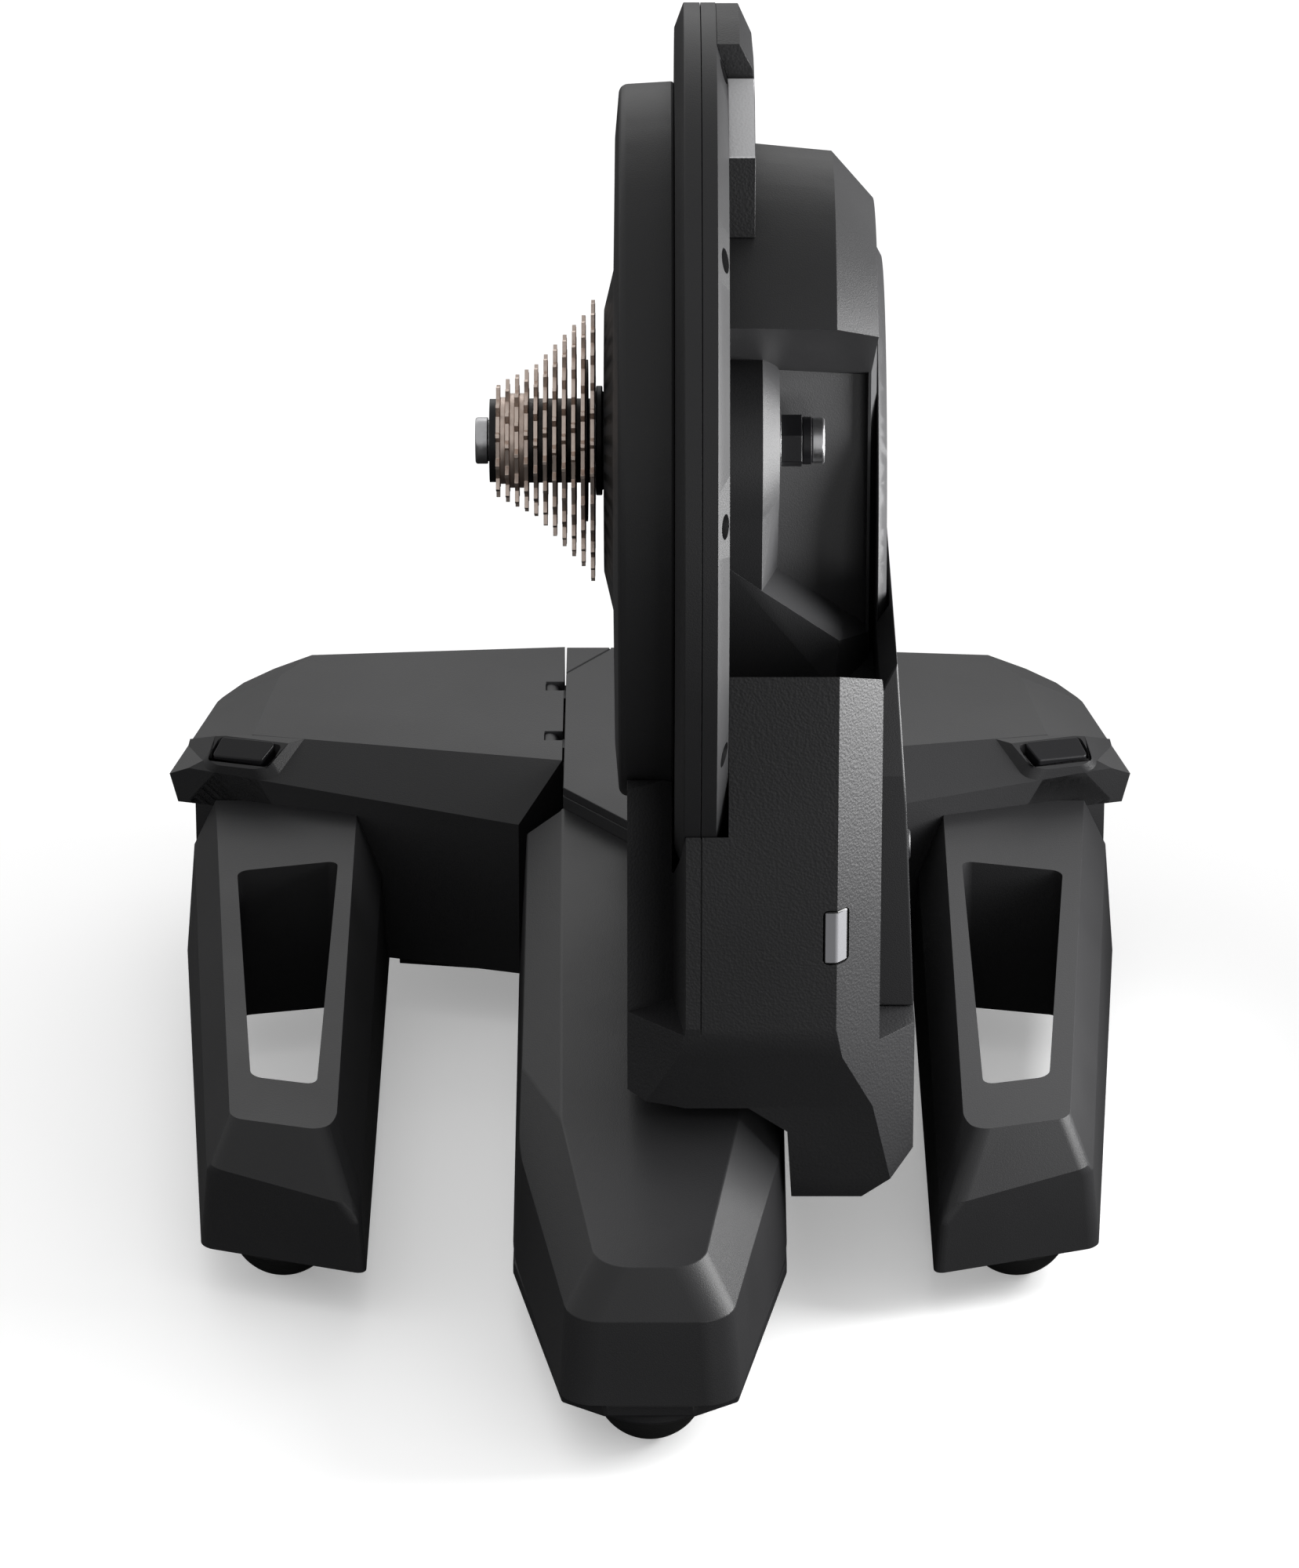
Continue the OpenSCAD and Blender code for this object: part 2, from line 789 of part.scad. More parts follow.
module hub_cover() {
    color("#2b2b2d")
        on_floor()
            difference() {
                plan_slab(deck_h - 3.9, deck_h, hub_plan(0.1));
                // Panel line across the back corner
                plan_slab(deck_h - 0.7, deck_h + 1, [[-39, 305], [-38.2, 304.2], [-18, 334.2], [-18, 338], [-18.6, 338],
                    [-18.6, 335.3]]);
            }
}

// One hinge bracket on the left face of the hub
module bracket(y, pin_x, back_x) {
    difference() {
        union() {
            rod_y(y - bracket_w / 2 + 0.2, y + bracket_w / 2 - 0.2, 5, pin_x, hinge_zf);
            block([min(pin_x, back_x), y - bracket_w / 2 + 0.2, hinge_zf - 5],
                [max(pin_x, back_x), y + bracket_w / 2 - 0.2, hinge_zf + 1.9]);
        }
        rod_y(y - 20, y + 20, hinge_pin_r, pin_x, hinge_zf);
    }
}

module hinge_brackets() {
    color("#3f4042")
        on_floor()
            for (y = bracket_y) {
                bracket(y, hinge_left_x, -28.2);
                bracket(y, hinge_right_x, 86.2);
            }
}

module hinge_pins() {
    color("#8f9092")
        on_floor()
            for (x = [hinge_left_x, hinge_right_x])
                for (y = bracket_y)
                    rod_y(y - 14, y + 14, hinge_pin_r - 0.02, x, hinge_zf);
}

// Left wing outer form, heights above the floor
module wing_form(g) {
    difference() {
        block([-230, 150, 26], [-39, 350, 140]);
        beyond([[-39, 204.5, deck_h], [-39, 300, deck_h], [-150, 300, deck_h]], g);
        beyond([[-173.3, 231.6, deck_h], [-58, 177, lip_h], [-38.6, 204.5, deck_h]], g);
        beyond([[-163, 208, lip_h], [-100, 189.4, 50], [-58, 177, lip_h]], g);
        beyond([[-58, 177, lip_h], [-58, 177, 26], [-38.6, 204.5, deck_h]], g);
        beyond([[-177.3, 233.5, deck_h], [-168.7, 301, deck_h], [-205, 262, rim_h]], g);
        beyond([[-168.7, 301, deck_h], [-156, 325, deck_h], [-186, 326, rim_h]], g);
        beyond([[-196, 301, rim_h], [-190, 262, 52], [-211, 236, deck_h - 16]], g);
        beyond([[-186, 326, rim_h], [-183, 306, 52], [-195, 306, rim_h]], g);
        beyond([[-160, 335.5, rim_h], [-165, 324, 40], [-186, 325.5, rim_h]], g);
        beyond([[-39, 337, deck_h], [-100, 333, 26], [-160, 335.5, rim_h]], g);
        beyond([[-39, 337, deck_h], [-160, 335.5, rim_h], [-149.4, 327.7, deck_h]], g);
        beyond([[-190, 216, 52], [-118, 330, 26], [-118, 200, 26]], g);
        // Step under the rim, where the prong passes
        block([-230, 150, 20], [-203 - g, 262, lip_h - 8 - g]);
        children();
    }
}

module wing_room() {
    wing_form(-3.6)
        block([-52, 0, 0], [0, 400, 200]);
}

// Plane of the sloping top of the corner block
function corner_top() = [[-194.3, 232, deck_h - 0.5], [-198.5, 218.5, deck_h - 8.2], [-172.6, 210.8, deck_h - 8.1]];

// Left corner block round the release button, its front in line with the wing's lip
module corner_form() {
    difference() {
        block([-230, 195, lip_h - 8], [-130, 262, deck_h - 0.1]);
        beyond(corner_top(), 0);
        beyond([[-163, 208, lip_h], [-100, 189.4, 50], [-58, 177, lip_h]], 0);
        beyond([[-196, 301, rim_h], [-190, 262, 52], [-211, 236, deck_h - 16]], 0);
        beyond([[-194.3, 232, deck_h - 0.5], [-209.7, 231, lip_h], [-198.5, 218.5, deck_h - 8.2]], 0);
        beyond([[-194.3, 232, deck_h - 0.5], [-173.5, 232, deck_h], [-196, 246, deck_h - 7]], 0);
        beyond([[-161.3, 222.2, deck_h - 0.4], [-170.9, 210.5, deck_h - 7.8], [-164, 208.3, lip_h]], 0);
        beyond([[-198.5, 218.5, deck_h - 8.2], [-210.3, 228, lip_h], [-203.5, 220, lip_h]], 0);
        beyond([[-203.5, 220, lip_h], [-210.3, 228, lip_h], [-203.5, 220, lip_h - 8]], 0);
    }
}

// Opening for the release button in plan, from the button's own plan
module button_seat() {
    translate([button_x, button_y, 0]) {
        plan_slab(button_base_h - button_travel - 0.6, deck_h + 12, button_seat_plan);
        translate([0, 0, 60])
            cylinder(r = 4.35, h = 50, $fn = 48);
        translate([0, 0, 92])
            cylinder(r = 7, h = button_base_h - 91.5, $fn = 48);
    }
}

// Guide post of the latch rod on the wing base, grown by g
module latch_post(g) {
    block([-134 - g, latch_y - 7 - g, 25 - g], [-128 + g, latch_y + 7 + g, 40 + g]);
}

// Pin line of the wing on each side, in the left drawing
function pin_x(side) = side < 0 ? hinge_left_x : -hinge_right_x;

module wing_shell(side) {
    px = pin_x(side);
    color("#2b2b2d")
        on_side(side)
            on_floor()
                difference() {
                    union() {
                        difference() {
                            wing_form(0);
                            translate([0, 0, -0.1])
                                wing_room();
                        }
                        corner_form();
                        intersection() {
                            wing_form(0);
                            block([px - 9, 180, 60], [px + 6, 340, 120]);
                        }
                    }
                    // Round edge about the hinge pin
                    difference() {
                        block([px, 100, hinge_zf], [0, 400, 130]);
                        rod_y(100, 400, hinge_barrel_r, px, hinge_zf);
                    }
                    block([px + 6, 100, 0], [0, 400, 130]);
                    block([px + 3, 100, 0], [0, 400, deck_h - 14]);
                    for (y = bracket_y) {
                        rod_y(y - 5.3, y + 5.3, 5.3, px, hinge_zf);
                        block([px - 2.3, y - 5.3, hinge_zf], [px + 20, y + 5.3, 130]);
                        block([px, y - 5.3, hinge_zf - 8.9], [px + 20, y + 5.3, 130]);
                        rod_y(y - 14.5, y + 14.5, hinge_pin_r + run_gap, px, hinge_zf);
                    }
                    // Seat of the button, the latch rod and its guide post
                    button_seat();
                    latch_post(0.4);
                    rod_x(-176, 0, latch_r + run_gap, latch_y, latch_zf);
                    // Room for the prong that slides in from the front
                    prong_form(0.4);
                    block([-400, 0, 0], [0, 400, 20]);
                }
}

module wing_base(side) {
    px = pin_x(side);
    color("#1e1e20")
        on_side(side)
            on_floor()
                difference() {
                    union() {
                        intersection() {
                            plan_slab(21.5, 25.9, [[-63, 190], [-53, 204], [-53, 327], [-109, 323], [-138, 318],
                                [-138, 215], [-112, 215], [-112, 198]]);
                            block([-300, 100, 0], [px - 10, 400, 200]);
                        }
                        latch_post(0);
                        block([-134, latch_y - 7, 39], [-128, latch_y + 7, latch_zf + 7]);
                    }
                    rod_x(-200, 0, latch_r + run_gap, latch_y, latch_zf);
                }
}

// Left prong outer form grown by g, heights above the floor
module prong_form(g) {
    difference() {
        block([-230, -130, 21 - g], [-100, 213.6 + g, 120]);
        beyond([[-170, -80, 79.4], [-150, 200, 93.5], [-170, 200, 93.5]], g);
        beyond([[-173.4, -77.8, 79.4], [-192.9, 204.4, 93.7], [-183.3, -79.6, 58]], g);
        beyond([[-183.3, -79.6, 58], [-206.7, 255.8, 72], [-186.6, -75.5, 22]], g);
        beyond([[-170.3, -84.9, 79], [-152.4, -102.8, 57], [-134.6, -94.7, 78.7]], g);
        beyond([[-172.3, -95.5, 57], [-153.4, -98.6, 22], [-132.4, -110, 57]], g);
        beyond([[-173.4, -77.8, 79.4], [-179.5, -88.5, 57], [-170.3, -84.9, 79]], g);
        beyond([[-184.5, -80, 57], [-184.5, -80, 22], [-175, -94.5, 57]], g);
        beyond([[-134.6, -94.7, 78.7], [-121.5, -103, 57], [-128.8, -85.9, 78.7]], g);
        beyond([[-129, -109, 57], [-129, -109, 22], [-118.2, -98, 57]], g);
        beyond([[-128.8, -85.9, 78.7], [-118.8, -60, 55], [-130.3, 186.4, 93]], g);
        beyond([[-118.8, -60, 55], [-116.8, 0, 22], [-118.8, 150, 55]], g);
    }
}

module prong_room() {
    prong_form(-3.4);
}

function window_plan(g) = rounded([[-180.7 - g, 143 + g], [-136.8 + g, 153 + g], [-138.3 + g, -55 - g],
    [-166 - g, -48 - g]], 5);

module prong(side) {
    color("#29292b")
        on_side(side)
            on_floor()
                difference() {
                    union() {
                        difference() {
                            prong_form(0);
                            prong_room();
                        }
                        intersection() {
                            prong_form(0);
                            plan_slab(22, 96, window_plan(3.5));
                        }
                        intersection() {
                            prong_form(0);
                            block([-230, -130, 21], [-100, 213.6, 28]);
                        }
                    }
                    plan_slab(0, 120, window_plan(0));
                    translate([foot_side_x, foot_side_y, 0])
                        cylinder(r = stem_r + run_gap, h = 60, $fn = 48);
                }
}

module release_button(side) {
    color("#1b1b1d")
        on_side(side)
            on_floor()
                difference() {
                    translate([button_x, button_y, 0])
                        union() {
                            plan_slab(button_base_h, deck_h + 10, rounded(button_plan, 1.5));
                            translate([0, 0, 74])
                                cylinder(r = 4, h = button_base_h - 73, $fn = 48);
                        }
                    beyond(corner_top(), 1.2);
                }
}

module button_spring(side) {
    color("#9a9b9d")
        on_side(side)
            on_floor()
                translate([button_x, button_y, 0])
                    for (i = [0 : 4])
                        translate([0, 0, 93 + i * (button_base_h - 94) / 4])
                            rotate_extrude($fn = 48)
                                translate([5.6, 0])
                                    circle(r = 0.7, $fn = 16);
}

module latch_rod(side) {
    px = pin_x(side);
    color("#8f9092")
        on_side(side)
            on_floor()
                union() {
                    rod_x(-168, px + 15, latch_r, latch_y, latch_zf);
                    block([-168, latch_y - 5, latch_zf - 3], [-158, latch_y + 5, latch_zf + 3]);
                }
}

module foot_pad(side) {
    color("#151516")
        on_side(side)
            on_floor()
                translate([foot_side_x, foot_side_y, 0])
                    difference() {
                        dome();
                        translate([0, 0, 8])
                            cylinder(r = stem_r - 0.5, h = 20, $fn = 48);
                    }
}

module foot_stem(side) {
    color("#8f9092")
        on_side(side)
            on_floor()
                translate([foot_side_x, foot_side_y, 0])
                    union() {
                        translate([0, 0, 8.02])
                            cylinder(r = stem_r - 0.52, h = 7, $fn = 48);
                        translate([0, 0, 15.02])
                            cylinder(r = 12, h = 3, $fn = 6);
                        translate([0, 0, 18])
                            cylinder(r = stem_r, h = 24, $fn = 48);
                    }
}

base_hub();
base_plate();
hub_cover();
centre_leg_cover();
centre_leg_frame();
centre_leg_base();
centre_foot();
rear_feet();
hinge_brackets();
hinge_pins();
drive_cover();
drive_shell();
main_shell();
lower_housing();
side_cover();
rear_housing();
service_panel();
grab_handle();
status_lens();
light_board();
power_inlet();
side_plug();
axle_tube();
axle_end_left();
axle_end_right();
axle_flange_ring();
axle_sleeve();
seal_ring();
rotor_bearings();
freehub_bearings();
stator_core();
stator_coils();
stator_mount();
circuit_board();
shell_screws();
rotor_drum();
rotor_magnets();
hub_flange();
freehub_body();
cassette_cogs();
cassette_spacers();
cog_carrier();
lockring();
wing_shell(-1);  // left_wing_shell
wing_base(-1);  // left_wing_base
prong(-1);  // left_prong
release_button(-1);  // left_release_button
button_spring(-1);  // left_button_spring
latch_rod(-1);  // left_latch_rod
foot_pad(-1);  // left_foot_pad
foot_stem(-1);  // left_foot_stem
wing_shell(1);  // right_wing_shell
wing_base(1);  // right_wing_base
prong(1);  // right_prong
release_button(1);  // right_release_button
button_spring(1);  // right_button_spring
latch_rod(1);  // right_latch_rod
foot_pad(1);  // right_foot_pad
foot_stem(1);  // right_foot_stem
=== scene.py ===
"""Direct drive bike trainer: looks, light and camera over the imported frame."""
import json
import math

import bmesh
import bpy
from bpy.props import FloatProperty, FloatVectorProperty, PointerProperty
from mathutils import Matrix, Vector

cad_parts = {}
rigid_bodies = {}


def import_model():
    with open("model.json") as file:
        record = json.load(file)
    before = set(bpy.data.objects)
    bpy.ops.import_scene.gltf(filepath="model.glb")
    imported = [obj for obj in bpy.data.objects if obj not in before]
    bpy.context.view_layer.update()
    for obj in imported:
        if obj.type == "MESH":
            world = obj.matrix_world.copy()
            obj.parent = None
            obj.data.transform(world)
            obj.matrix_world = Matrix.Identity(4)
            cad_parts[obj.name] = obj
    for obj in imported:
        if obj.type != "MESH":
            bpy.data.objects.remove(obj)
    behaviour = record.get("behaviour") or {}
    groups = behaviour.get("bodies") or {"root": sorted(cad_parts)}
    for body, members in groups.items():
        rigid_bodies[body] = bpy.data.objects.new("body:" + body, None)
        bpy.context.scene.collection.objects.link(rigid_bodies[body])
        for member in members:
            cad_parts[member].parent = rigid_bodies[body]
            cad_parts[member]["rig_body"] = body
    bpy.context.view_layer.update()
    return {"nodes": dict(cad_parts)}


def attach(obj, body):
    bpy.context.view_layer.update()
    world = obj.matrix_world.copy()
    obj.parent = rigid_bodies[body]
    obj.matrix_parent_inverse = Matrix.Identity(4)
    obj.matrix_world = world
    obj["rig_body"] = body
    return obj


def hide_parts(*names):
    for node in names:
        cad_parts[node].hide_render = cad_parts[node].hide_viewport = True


bl_info = {
    "name": "Direct drive bike trainer",
    "version": (1, 0, 0),
    "blender": (4, 5, 0),
    "location": "View3D > Sidebar > Trainer",
    "description": "Dresses the trainer's frame and sets its light and camera",
    "category": "Object",
}

MM = 0.001
AXLE_H = 0.345  # height of the thru axle over the floor, in metres
TILT = 23  # degrees that the camera looks down
NOISE_RANGE = (0.3, 0.7)  # where a noise texture has nearly all its values
GRAIN_SCALE, GRAIN_DEPTH = 1700, 0.0004
PEBBLE_SCALE = 900
CLOUD_SCALE = 14
MARK_SCALE, MARK_DEPTH = 700, 0.0002
SMOOTH_ANGLE = 33  # degrees up to which faces shade as one
frame = None
MATS = {}


def colour(name, description, rgb):
    return FloatVectorProperty(name=name, description=description, subtype="COLOR", size=3,
                               min=0, max=1, default=rgb)


class TrainerLook(bpy.types.PropertyGroup):
    shell: colour("Shell", "Charcoal plastic of the covers", (0.020, 0.020, 0.021))
    base: colour("Base", "Darker plastic of the base parts", (0.012, 0.012, 0.013))
    black: colour("Black", "Black plastic and anodised parts", (0.006, 0.006, 0.007))
    rubber: colour("Rubber", "Rubber of the domes", (0.008, 0.008, 0.008))
    silver: colour("Silver", "Axle ends", (0.46, 0.46, 0.47))
    cog: colour("Cog", "Nickel plated cogs", (0.62, 0.52, 0.46))
    # Painted highlight: a lighter colour for the front facet of the grab handle, standing in for the light it
    # catches.
    insert: colour("Handle highlight", "Lighter facet of the grab handle", (0.62, 0.62, 0.63))
    lens: colour("Lens", "Grey lens of the status light", (0.20, 0.20, 0.21))
    floor: colour("Floor", "Pale studio floor", (0.90, 0.90, 0.90))
    floor_glow: FloatProperty(name="Floor glow", description="Light added to the floor as the camera sees it",
                              default=0.30, min=0, max=1)
    grain: FloatProperty(name="Grain", description="Strength of the fine grain on the plastic",
                         default=0.22, min=0, max=1)


class Sock:
    """A shader socket that can be used in sums."""

    def __init__(self, mat, out):
        self.mat, self.out = mat, out

    def _math(self, op, other=None, swap=False):
        a, b = (other, self) if swap else (self, other)
        return self.mat.node("ShaderNodeMath", op, a, b)

    def __add__(self, other):
        return self._math("ADD", other)

    def __rsub__(self, other):
        return self._math("SUBTRACT", other, swap=True)

    def __mul__(self, other):
        return self._math("MULTIPLY", other)

    def __gt__(self, other):
        return self._math("GREATER_THAN", other)

    def __lt__(self, other):
        return self._math("LESS_THAN", other)

    def power(self, other):
        return self._math("POWER", other)

    def within(self, lo, hi):
        """1 where the value lies between lo and hi."""
        return (self > lo) * (self < hi)


class Mat:
    """A material built from nodes."""

    def __init__(self, name):
        self.material = bpy.data.materials.new(name)
        self.material.use_nodes = True
        self.tree = self.material.node_tree
        self.bsdf = self.tree.nodes["Principled BSDF"]
        self.out = self.tree.nodes["Material Output"]

    def node(self, kind, operation=None, *inputs, result=0, **settings):
        n = self.tree.nodes.new(kind)
        if operation:
            n.operation = operation
        for key, value in settings.items():
            if key in n.inputs:
                self.feed(n.inputs[key], value)
            else:
                setattr(n, key, value)
        for socket, value in zip(n.inputs, inputs):
            if value is not None:
                self.feed(socket, value)
        return Sock(self, n.outputs[result])

    def feed(self, socket, value):
        if isinstance(value, Sock):
            self.tree.links.new(value.out, socket)
        else:
            socket.default_value = value

    def place(self):
        """Object coordinates."""
        return self.node("ShaderNodeTexCoord", result="Object")

    def axes(self):
        """X, Y and Z of the object coordinates."""
        split = self.tree.nodes.new("ShaderNodeSeparateXYZ")
        self.feed(split.inputs[0], self.place())
        return [Sock(self, out) for out in split.outputs]

    def noise(self, scale, detail):
        return self.node("ShaderNodeTexNoise", Vector=self.place(), Scale=scale, Detail=detail, Roughness=0.5)

    def set(self, **inputs):
        for key, value in inputs.items():
            self.feed(self.bsdf.inputs[key.replace("_", " ")], value)

    def bump(self, height, strength, distance):
        self.set(Normal=self.node("ShaderNodeBump", Height=height, Strength=strength, Distance=distance))

    def spread(self, noise, a, b):
        """a to b over the values of a noise."""
        lo, hi = NOISE_RANGE
        ends = {"From Min": lo, "From Max": hi, "To Min": a, "To Max": b}
        return self.node("ShaderNodeMapRange", Value=noise, **ends)

    def mix(self, fac, a, b):
        """Colour a where fac is 0 and colour b where it is 1."""
        n = self.tree.nodes.new("ShaderNodeMix")
        n.data_type = "RGBA"
        factor, first, second, result = n.inputs[0], n.inputs[6], n.inputs[7], n.outputs[2]
        self.feed(factor, fac)
        self.feed(first, (*a, 1) if isinstance(a, tuple) else a)
        self.feed(second, (*b, 1) if isinstance(b, tuple) else b)
        return Sock(self, result)


def small_cog_zone(m):
    """The spacers of the small cogs, which are forged with them."""
    small_cogs_end = -0.0505
    x, _, _ = m.axes()
    return x < small_cogs_end


def rib_gap_shade_zone(m):
    """Painted shade: the gaps between the short ribs round the boss of the drive cover are painted dark where shade
    falls.
    """
    ribs, inner, outer, face = 48, 0.0545, 0.0685, -0.0149
    x, y, z = m.axes()
    radius = (y * y + z * z).power(0.5)
    turn = m.node("ShaderNodeMath", "ARCTAN2", z, y)
    wave = m.node("ShaderNodeMath", "SINE", turn * ribs)
    return (wave > 0.1) * radius.within(inner, outer) * (x < face)


def painted_highlight_zone(m):
    """Painted highlight: the front facet of the grab handle is painted lighter to stand in for the light that falls
    on it.
    """
    right, front, low, high = 0.0414, -0.0222, 0.1416, 0.1634
    x, y, z = m.axes()
    return (x < right) * (y < front) * z.within(low, high)


def lens_frame_zone(m):
    """The dark line round the lens."""
    left, right, low, high = 0.0703, 0.0789, -0.1738, -0.1522
    x, _, z = m.axes()
    return 1 - x.within(left, right) * z.within(low, high)


def plastic(name, rgb, rough, grain, coarse=0.0, zone=None, zone_rgb=None):
    """Moulded plastic with a fine grain, a coarser one and a zone of another colour where asked."""
    m = Mat(name)
    height = m.noise(GRAIN_SCALE, 2.0)
    if coarse:
        pebble = m.node("ShaderNodeTexVoronoi", Vector=m.place(), Scale=PEBBLE_SCALE, feature="SMOOTH_F1",
                        Smoothness=0.6)
        height = height * 0.5 + pebble * coarse
    cloud = m.noise(CLOUD_SCALE, 3.0)
    darker, lighter = [tuple(c * share for c in rgb) for share in (0.93, 1.07)]
    tint = m.mix(m.spread(cloud, 0, 1), darker, lighter)
    if zone:
        tint = m.mix(zone(m), tint, tuple(zone_rgb))
    m.set(Base_Color=tint, Roughness=m.spread(cloud, rough - 0.03, rough + 0.03), Specular_IOR_Level=0.25)
    m.bump(height, grain, GRAIN_DEPTH)
    return m.material


def metal(name, rgb, rough, zone=None, zone_rgb=None):
    """Satin metal with faint turning marks; outside a zone it is plastic."""
    m = Mat(name)
    marks = m.noise(MARK_SCALE, 3.0)
    bright = zone(m) if zone else 1.0
    tint = m.mix(bright, tuple(zone_rgb), tuple(rgb)) if zone else (*rgb, 1)
    m.set(Base_Color=tint, Metallic=bright, Roughness=m.spread(marks, rough - 0.06, rough + 0.06))
    m.bump(marks, 0.05, MARK_DEPTH)
    return m.material


def build_materials(look):
    g = look.grain
    pebbled = {"grain": g * 1.6, "coarse": 0.9}
    return {
        "shell": plastic("shell plastic", look.shell, 0.46, g),
        # The drive cover takes painted shade in the gaps between the ribs round its boss.
        "cover": plastic("cover plastic", look.shell, 0.46, g, zone=rib_gap_shade_zone, zone_rgb=(0.003, 0.003, 0.003)),
        # The handle's front facet takes the painted highlight colour.
        "handle": plastic("handle plastic", look.shell, 0.50, zone=painted_highlight_zone, zone_rgb=look.insert, **pebbled),
        "textured": plastic("textured plastic", look.shell, 0.50, **pebbled),
        "base": plastic("base plastic", look.base, 0.48, g),
        "black": plastic("black plastic", look.black, 0.40, g * 0.4),
        "rubber": plastic("rubber", look.rubber, 0.62, g),
        "silver": metal("silver", look.silver, 0.34),
        "cog": metal("cog", look.cog, 0.36),
        "spacer": metal("spacer", look.cog, 0.42, zone=small_cog_zone, zone_rgb=look.black),
        "steel": metal("steel", (0.40, 0.40, 0.41), 0.38),
        "iron": metal("iron", (0.12, 0.12, 0.13), 0.5),
        "magnet": metal("magnet", (0.30, 0.30, 0.33), 0.35),
        "copper": metal("copper", (0.45, 0.20, 0.08), 0.4),
        "cast": metal("cast", (0.35, 0.35, 0.36), 0.55),
        "board": plastic("board", (0.02, 0.10, 0.05), 0.3, 0.02),
        "lens": plastic("lens", look.lens, 0.22, 0.02, zone=lens_frame_zone, zone_rgb=(0.004, 0.004, 0.004)),
    }


def select_only(obj):
    bpy.ops.object.select_all(action="DESELECT")
    obj.select_set(True)
    bpy.context.view_layer.objects.active = obj


def copy_of(node, name):
    """A loose copy of a CAD node's mesh."""
    source = frame["nodes"][node]
    obj = source.copy()
    obj.data = source.data.copy()
    for key in list(obj.keys()):
        del obj[key]
    obj.name = name
    obj.parent = None
    bpy.context.scene.collection.objects.link(obj)
    select_only(obj)
    return obj


def bevel(obj, width, segments, angle=None, clamp=True):
    """Bevel modifier, by angle or by the edge weights."""
    mod = obj.modifiers.new("moulded edge", "BEVEL")
    mod.width = width
    mod.segments = segments
    mod.limit_method = "ANGLE" if angle else "WEIGHT"
    if angle:
        mod.angle_limit = math.radians(angle)
    mod.use_clamp_overlap = clamp


def finish(obj, node, material):
    """Shade, paint and hand over the shown piece."""
    select_only(obj)
    bpy.ops.object.shade_smooth_by_angle(angle=math.radians(SMOOTH_ANGLE))
    even = obj.modifiers.new("even normals", "WEIGHTED_NORMAL")
    even.keep_sharp = True
    obj.data.materials.clear()
    obj.data.materials.append(MATS[material])
    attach(obj, frame["nodes"][node]["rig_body"])
    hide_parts(node)


def weigh_edges(obj, weight):
    """Sets each convex edge's bevel weight from its direction, angle and middle."""
    bm = bmesh.new()
    bm.from_mesh(obj.data)
    layers = bm.edges.layers.float
    layer = layers.get("bevel_weight_edge") or layers.new("bevel_weight_edge")
    for e in bm.edges:
        if len(e.link_faces) == 2 and e.is_convex:
            start, end = [v.co for v in e.verts]
            e[layer] = weight((end - start).normalized(), e.calc_face_angle(0), (start + end) / 2)
    bm.to_mesh(obj.data)
    bm.free()


def merge_flat():
    """Joins the flat triangles of the active piece into whole faces."""
    bpy.ops.object.mode_set(mode="EDIT")
    bpy.ops.mesh.select_all(action="SELECT")
    bpy.ops.mesh.remove_doubles(threshold=0.02 * MM)
    bpy.ops.mesh.dissolve_limited(angle_limit=math.radians(0.6))
    bpy.ops.object.mode_set(mode="OBJECT")


def skin(node, material, edge, segments=3, angle=28):
    """The shown piece for a CAD node: its own form with its edges rounded, the radius in millimetres."""
    obj = copy_of(node, node + "_skin")
    merge_flat()
    bevel(obj, edge * MM, segments, angle)
    finish(obj, node, material)


def outward(bm):
    """Turns the faces of a closed body outward."""
    bm.normal_update()
    bmesh.ops.recalc_face_normals(bm, faces=bm.faces)
    if bm.calc_volume(signed=True) < 0:
        bmesh.ops.reverse_faces(bm, faces=bm.faces)


def add_object(name, bm):
    """Moves a body that was drawn in millimetres over the floor into the axle's frame, and shows it."""
    for v in bm.verts:
        v.co = v.co * MM - Vector((0, 0, AXLE_H))
    outward(bm)
    mesh = bpy.data.meshes.new(name)
    bm.to_mesh(mesh)
    bm.free()
    obj = bpy.data.objects.new(name, mesh)
    bpy.context.scene.collection.objects.link(obj)
    return obj


def cut_block(name, lo, hi, planes, sign=1):
    """Convex body: a block, cut by planes through three points each, and mirrored if sign is -1."""
    bm = bmesh.new()
    bmesh.ops.create_cube(bm, size=1)
    for v in bm.verts:
        v.co = [(h + l) / 2 + c * (h - l) for l, h, c in zip(lo, hi, v.co)]
    for points in planes:
        p, q, r = [Vector(c) for c in points]
        bmesh.ops.bisect_plane(bm, geom=bm.verts[:] + bm.edges[:] + bm.faces[:], plane_co=p,
                               plane_no=(q - p).cross(r - p).normalized(), clear_outer=True, dist=0.0001)
        open_edges = [e for e in bm.edges if e.is_boundary]
        if open_edges:
            bmesh.ops.contextual_create(bm, geom=open_edges)
    bmesh.ops.remove_doubles(bm, verts=bm.verts, dist=1)
    bmesh.ops.dissolve_limit(bm, angle_limit=math.radians(1.5), verts=bm.verts, edges=bm.edges)
    for v in bm.verts:
        v.co.x *= sign
    return add_object(name, bm)


def prism(name, outline, z0, z1, corner):
    """Upright prism over an outline, with its upright edges rounded."""
    bm = bmesh.new()
    base = bm.faces.new([bm.verts.new((x, y, z0)) for x, y in outline])
    up = bmesh.ops.extrude_face_region(bm, geom=[base])
    tops = [v for v in up["geom"] if isinstance(v, bmesh.types.BMVert)]
    bmesh.ops.translate(bm, verts=tops, vec=(0, 0, z1 - z0))
    walls = [e for e in bm.edges if abs(e.verts[0].co.z - e.verts[1].co.z) > 0.001]
    bmesh.ops.bevel(bm, geom=walls, offset=corner, segments=5, profile=0.5, affect="EDGES")
    return add_object(name, bm)


def mirrored(planes):
    """The planes and their mirror images across X."""
    return planes + [[(-x, y, z) for x, y, z in (a, c, b)] for a, b, c in planes]


def apply_all(obj):
    """Applies the modifiers of one object."""
    select_only(obj)
    for mod in list(obj.modifiers):
        bpy.ops.object.modifier_apply(modifier=mod.name)


